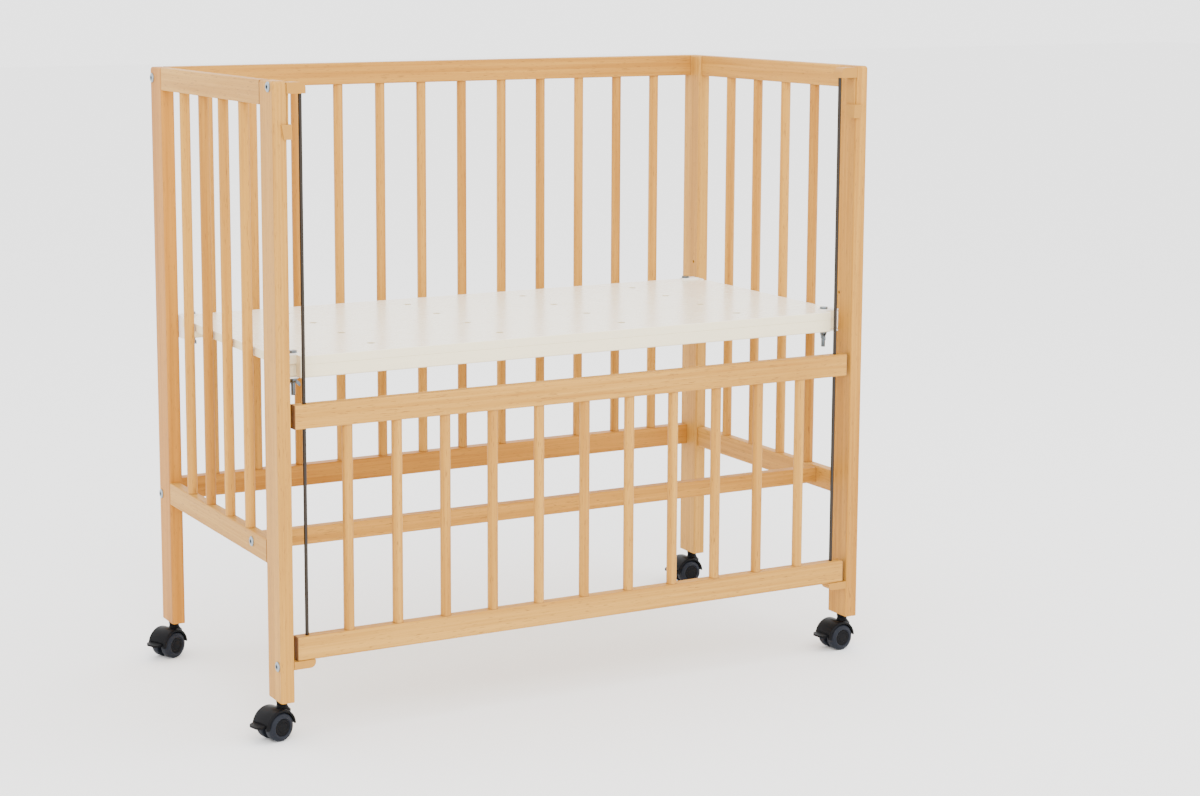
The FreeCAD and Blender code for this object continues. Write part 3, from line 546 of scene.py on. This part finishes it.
class CRIB_OT_fittings(bpy.types.Operator):
    """Finish the rods, caps, catches and feet, and build the brackets and wing nuts"""
    bl_idname = "crib.fittings"
    bl_label = "Fittings"

    def execute(self, context):
        colours = context.scene.crib_colours
        sizes = context.scene.crib_sizes
        steel = plated("drawn_steel", colours.rod, 0.2, (500, 500, 1.5), 0.1)
        nut_zinc = plated("nut_zinc", colours.nut, 0.16, (60, 60, 60))
        zinc = plated("zinc_plate", colours.zinc, 0.24, (40, 260, 260))
        beige = moulded("beige_moulding", colours.plastic, 0.42, 900, 0.08, 0.2, 0.06)
        white = enamel("white_enamel")
        for node in ("left_guide_rod", "right_guide_rod"):
            dress(node, steel)
        for node in NODES:
            if "catch" in node or "rod_foot" in node:
                dress(node, beige)
        dress("base_bolts", nut_zinc)
        dress("castor_stems", zinc)
        low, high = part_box("base_brackets")
        middle = (low + high) / 2
        for corner, turn in zip(CORNERS, (0, 35, 70, 15)):
            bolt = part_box(f"{corner}_wing_nut")
            spot = (bolt[0] + bolt[1]) / 2
            way = Vector((1 if spot.x < middle.x else -1, 1 if spot.y < middle.y else -1, 1))
            self.bracket(corner, spot, way, low, high, white, sizes)
            self.wing_nut(corner, spot, bolt[1].z, turn, nut_zinc)
        return {"FINISHED"}

    def bracket(self, corner, spot, way, low, high, white, sizes):
        """A web on the leg's inner face and two straps with round ends round the bolt."""
        bm = bmesh.new()
        reach = (spot.x - (low.x if way.x > 0 else high.x)) * way.x / MM
        tall = (high.z - low.z) / MM
        half = sizes.strap / MM / 2
        plate, gap = 1.9, 0.05
        block(bm, (-reach, -8, 0.6), (2 - reach, 26, tall - 0.6), 5.0, 4,
              lambda edge: length_along(edge, "x") > 1)
        for floor in (gap, tall - plate - gap):
            block(bm, (0.3 - reach, -half, floor), (half, half, floor + plate), half * 0.97, 6,
                  lambda edge: all(vert.co.x > half - 0.01 for vert in edge.verts)
                  and length_along(edge, "z") > 1)
        place = Matrix.Translation((spot.x, spot.y, low.z)) @ Matrix.Diagonal((*way, 1))
        finish_piece(f"{corner}_bracket", bm, place, white, "frame",
                     ("base_brackets",))

    def wing_nut(self, corner, spot, top, turn, zinc):
        """A washer, a tapered hub and two drooping wings with round tips."""
        bm = bmesh.new()
        hole = BOLT_HOLE
        turned(bm, [(hole, -1.2), (7.6, -1.2), (7.9, -0.9), (7.9, -0.1), (hole, -0.1)], steps=32)
        turned(bm, [(hole, -1.2), (5.4, -1.2), (5.5, -2.2), (4.3, -6.6), (3.9, -7),
                    (hole, -7)], steps=28)
        for way in (1, -1):
            wing = bmesh.new()
            block(wing, (3.2, -1.3, -7.4), (11.6, 1.3, -1.6))
            tip = [vert for vert in wing.verts if vert.co.x > 10]
            bmesh.ops.translate(wing, vec=(-1.0, 0, -6.5), verts=tip)
            across_tip = [edge for edge in wing.edges
                          if length_along(edge, "y") > 2 and edge.verts[0].co.x > 10]
            round_edges(wing, across_tip, 2.0, 4)
            round_edges(wing, list(wing.edges), 0.5, 2)
            if way < 0:
                bmesh.ops.rotate(wing, cent=(0, 0, 0), matrix=Matrix.Rotation(math.pi, 3, "Z"),
                                 verts=wing.verts)
            merge_into(bm, wing)
        place = (Matrix.Translation((spot.x, spot.y, top))
                 @ Matrix.Rotation(math.radians(turn), 4, "Z"))
        finish_piece(f"{corner}_wings", bm, place, zinc, f"{corner}_wing_nut_turn",
                     (f"{corner}_wing_nut",))


class CRIB_OT_fasteners(bpy.types.Operator):
    """Build the heads of the bolts that show on the legs' outer faces"""
    bl_idname = "crib.fasteners"
    bl_label = "Fasteners"

    def execute(self, context):
        sizes = context.scene.crib_sizes
        zinc = shared("zinc_plate")
        # Painted shade: darker zinc for the inside of the sockets.
        dark = plated("socket_steel", context.scene.crib_colours.socket, 0.4, (300, 300, 300))
        # how far back and how high each bolt stands, in the crib's millimetres
        heads = {"cap": (15, 834), "foot": (11, 50), "back_top": (476, 826),
                 "back_low": (476, 196), "stretcher": (100.5, 205)}
        for name, (y, z) in heads.items():
            for side, way in (("left", -1), ("right", 1)):
                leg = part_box(f"front_{side}_leg")
                spot = crib(0, y, z)
                spot.x = leg[0].x if way < 0 else leg[1].x
                bm = bmesh.new()
                bolt_head(bm, sizes.bolt_head / MM, sizes.bolt_rise / MM)
                place = Matrix.Translation(spot) @ Matrix.Rotation(way * math.pi / 2, 4, "Y")
                finish_piece(f"{side}_{name}_bolt", bm, place, (zinc, dark), "frame")
        return {"FINISHED"}


class CRIB_OT_castors(bpy.types.Operator):
    """Build the castors' hoods, treads and hub discs, and finish their pedals and axles"""
    bl_idname = "crib.castors"
    bl_label = "Castors"

    def execute(self, context):
        colours = context.scene.crib_colours
        sizes = context.scene.crib_sizes
        nylon = moulded("black_nylon", colours.nylon, 0.3, 1100, 0.22, 0.07, 0.3)
        tread = rubber_tread("slate_tread")
        for corner in CORNERS:
            left = joint(f"{corner}_left_wheel_spin")
            right = joint(f"{corner}_right_wheel_spin")
            across = Vector(left["axis"])
            centre = (Vector(left["pos_m"]) + Vector(right["pos_m"])) / 2
            up = Vector((0, 0, 1))
            turn = Matrix((across.cross(up), across, up)).transposed().to_4x4()
            place = Matrix.Translation(centre) @ turn
            self.hood(corner, place, nylon, sizes)
            dress(f"{corner}_castor_pedal", nylon)
            dress(f"{corner}_castor_axle", shared("zinc_plate"))
            for side, way in (("left", 1), ("right", -1)):
                self.wheel(corner, side, way, place, nylon, tread, sizes)
        return {"FINISHED"}

    def hood(self, corner, place, nylon, sizes):
        """A round shell with soft rims, a web between the wheels and a flared neck."""
        bm = bmesh.new()
        soft = sizes.hood_round / MM
        outer, inner, half = HOOD_OUTER, HOOD_INNER, HOOD_HALF
        rim = [(outer - soft * (1 - math.cos(a)), half - soft * (1 - math.sin(a)))
               for a in (math.radians(k * 22.5) for k in range(5))]
        lip = inner - 1.1
        side = [(inner, half - 1.8), (lip, half - 1.4), (lip, half)] + rim[::-1]
        profile = side + [(r, -y) for r, y in reversed(side)]
        turned(bm, profile, "y", -math.radians(157), -math.radians(5), 38)
        cheek = side + [(outer, half - 4.4), (inner, half - 4.4)]
        for way in (1, -1):
            turned(bm, [(r, y * way) for r, y in cheek], "y", -math.radians(18),
                   -math.radians(162), 4)
        bmesh.ops.translate(bm, vec=(HOOD_SHIFT, 0, 0), verts=bm.verts)
        web, reach = WEB_HALF, outer - 1
        turned(bm, [(0.4, web), (reach, web), (reach, -web), (0.4, -web)], "y",
               -math.radians(132), -math.radians(6), 24)
        boss = [(AXLE_HOLE, web), (5.5, web), (5.5, -web), (AXLE_HOLE, -web)]
        turned(bm, boss, "y", steps=20)
        neck = bmesh.new()
        turned(neck, [(STEM_HOLE, 33.7), (7.5, 33.7), (8, 33.2), (7.9, 30), (7.4, 27.5),
                      (7.6, 25), (9.4, 22), (12, 19), (12, 16), (STEM_HOLE, 16)], "z", steps=32)
        bmesh.ops.translate(neck, vec=(STEM_AHEAD, 0, 0), verts=neck.verts)
        merge_into(bm, neck)
        finish_piece(f"{corner}_hood", bm, place, nylon, f"{corner}_castor",
                     (f"{corner}_castor_hood",))

    def wheel(self, corner, side, way, place, nylon, tread, sizes):
        """A tread with round shoulders and a raised lip round a black hub disc."""
        soft = sizes.tread_round / MM
        inner, outer, radius, hub = WHEEL_INNER, WHEEL_OUTER, WHEEL_RADIUS, HUB_RADIUS
        bm = bmesh.new()
        shoulder = [(radius - soft * (1 - math.cos(a)), outer - 1 - soft * (1 - math.sin(a)))
                    for a in (math.radians(k * 15) for k in range(6))]
        profile = [(hub, inner), (radius - 1.6, inner), (radius - 0.5, inner + 0.5),
                   (radius, inner + 1.6)]
        profile += shoulder
        profile += [(hub + 3.9, outer - 1.1), (hub + 3.4, outer - 0.7),
                    (hub + 2.8, outer - 0.15), (hub + 2.0, outer), (hub + 1.0, outer - 0.2),
                    (hub + 0.4, outer - 0.7), (hub, outer - 1.5)]
        turned(bm, [(r, y * way) for r, y in profile], "y", steps=56)
        body = f"{corner}_{side}_wheel"
        node = f"{corner}_castor_{side}_wheel"
        finish_piece(f"{corner}_{side}_tread", bm, place, tread, body, (node,),
                     crease=50)
        bm = bmesh.new()
        face = outer - 0.9
        disc = [(0, outer - 1.2), (AXLE_HOLE, outer - 1.2), (AXLE_HOLE, inner + 0.2),
                (hub, inner + 0.2), (hub, outer - 2.2), (hub - 0.1, outer - 1.5),
                (hub - 0.5, face - 0.05), (hub - 1.2, face), (hub - 3.9, face - 0.1),
                (hub - 4.2, face - 0.4), (hub - 4.6, face - 0.4), (hub - 4.9, face - 0.05),
                (3.0, face + 0.1), (0, face + 0.15)]
        turned(bm, [(r, y * way) for r, y in disc], "y", steps=48, ring=False)
        finish_piece(f"{corner}_{side}_hub", bm, place, nylon, body, (node,))


class CRIB_OT_stage(bpy.types.Operator):
    """Set the pale floor, the soft lights, the white sky and the camera"""
    bl_idname = "crib.stage"
    bl_label = "Stage"

    def execute(self, context):
        scene = context.scene
        stage = scene.crib_stage
        bm = bmesh.new()
        bmesh.ops.create_grid(bm, x_segments=1, y_segments=1, size=stage.floor_size / 2)
        mesh = bpy.data.meshes.new("floor")
        bm.to_mesh(mesh)
        bm.free()
        floor = bpy.data.objects.new("floor", mesh)
        scene.collection.objects.link(floor)
        finish = Finish("studio_floor", Roughness=0.9, Specular_IOR_Level=0.1)
        paper = finish.noise(finish.place(), 3.0, 2.0)
        pale = scene.crib_colours.floor
        finish.set(Base_Color=finish.mix(paper * 0.3, tuple(pale),
                                         tuple(c * 0.98 for c in pale)))
        mesh.materials.append(finish.material)

        world = bpy.data.worlds.new("even_sky")
        world.use_nodes = True
        back = world.node_tree.nodes["Background"]
        back.inputs["Color"].default_value = (1.0, 1.0, 1.0, 1.0)
        back.inputs["Strength"].default_value = stage.sky
        scene.world = world
        middle = (Vector(CAD_BOX[0]) + Vector(CAD_BOX[1])) / 2
        for name, power, spot, size in (
                ("key_light", stage.key_power, (-1.2, -3.0, 2.6), 2.2),
                ("fill_light", stage.fill_power, (3.0, -1.0, 1.8), 2.5),
                ("top_light", stage.fill_power, (0.2, 0.4, 3.4), 2.5)):
            light = bpy.data.lights.new(name, "AREA")
            light.energy = power
            light.shape = "DISK"
            light.size = size
            lamp = bpy.data.objects.new(name, light)
            lamp.location = spot
            lamp.rotation_euler = (middle - lamp.location).to_track_quat("-Z", "Y").to_euler()
            scene.collection.objects.link(lamp)
        self.camera(scene)
        return {"FINISHED"}

    def camera(self, scene):
        """A long lens at the front left, tipped down a little, its frame shifted to fit."""
        data = bpy.data.cameras.new("camera")
        data.sensor_width = SENSOR
        data.lens = SENSOR * FOCAL_PIXELS / IMAGE_WIDTH
        data.shift_x = (IMAGE_WIDTH / 2 - OPTICAL_CENTRE[0]) / IMAGE_WIDTH
        data.shift_y = -(IMAGE_HEIGHT / 2 - OPTICAL_CENTRE[1]) / IMAGE_WIDTH
        data.clip_end = 100.0
        camera = bpy.data.objects.new("camera", data)
        yaw, pitch, roll = (math.radians(angle) for angle in (YAW, PITCH, ROLL))
        ahead = Vector((-math.sin(yaw) * math.cos(pitch), math.cos(yaw) * math.cos(pitch),
                        -math.sin(pitch)))
        right = Vector((math.cos(yaw), math.sin(yaw), 0))
        up = right.cross(ahead)
        right, up = (right * math.cos(roll) + up * math.sin(roll),
                     up * math.cos(roll) - right * math.sin(roll))
        turn = Matrix((right, up, -ahead)).transposed()
        camera.location = crib(*STAND)
        camera.rotation_euler = turn.to_euler()
        scene.collection.objects.link(camera)
        scene.camera = camera


class CRIB_PT_panel(bpy.types.Panel):
    """The crib's sizes, colours and building steps"""
    bl_label = "Bedside crib"
    bl_idname = "CRIB_PT_panel"
    bl_space_type = "VIEW_3D"
    bl_region_type = "UI"
    bl_category = "Crib"

    def draw(self, context):
        for step in STEPS:
            self.layout.operator(step.bl_idname)
        for group in (context.scene.crib_sizes, context.scene.crib_colours,
                      context.scene.crib_stage):
            for key in group.bl_rna.properties.keys():
                if key not in ("rna_type", "name"):
                    self.layout.prop(group, key)


STEPS = (CRIB_OT_timbers, CRIB_OT_base, CRIB_OT_fittings, CRIB_OT_fasteners, CRIB_OT_castors,
         CRIB_OT_stage)
CLASSES = (CribColours, CribSizes, StageSettings) + STEPS + (CRIB_PT_panel,)


def register():
    for item in CLASSES:
        bpy.utils.register_class(item)
    scene = bpy.types.Scene
    scene.crib_colours = bpy.props.PointerProperty(type=CribColours)
    scene.crib_sizes = bpy.props.PointerProperty(type=CribSizes)
    scene.crib_stage = bpy.props.PointerProperty(type=StageSettings)


def unregister():
    del bpy.types.Scene.crib_stage
    del bpy.types.Scene.crib_sizes
    del bpy.types.Scene.crib_colours
    for item in reversed(CLASSES):
        bpy.utils.unregister_class(item)


def main():
    """Build everything: the stage, the timbers, the base, the fittings, the fasteners and the
    castors.
    """
    register()
    bpy.ops.crib.stage()
    bpy.ops.crib.timbers()
    bpy.ops.crib.base()
    bpy.ops.crib.fittings()
    bpy.ops.crib.fasteners()
    bpy.ops.crib.castors()


if __name__ == "__main__":
    main()
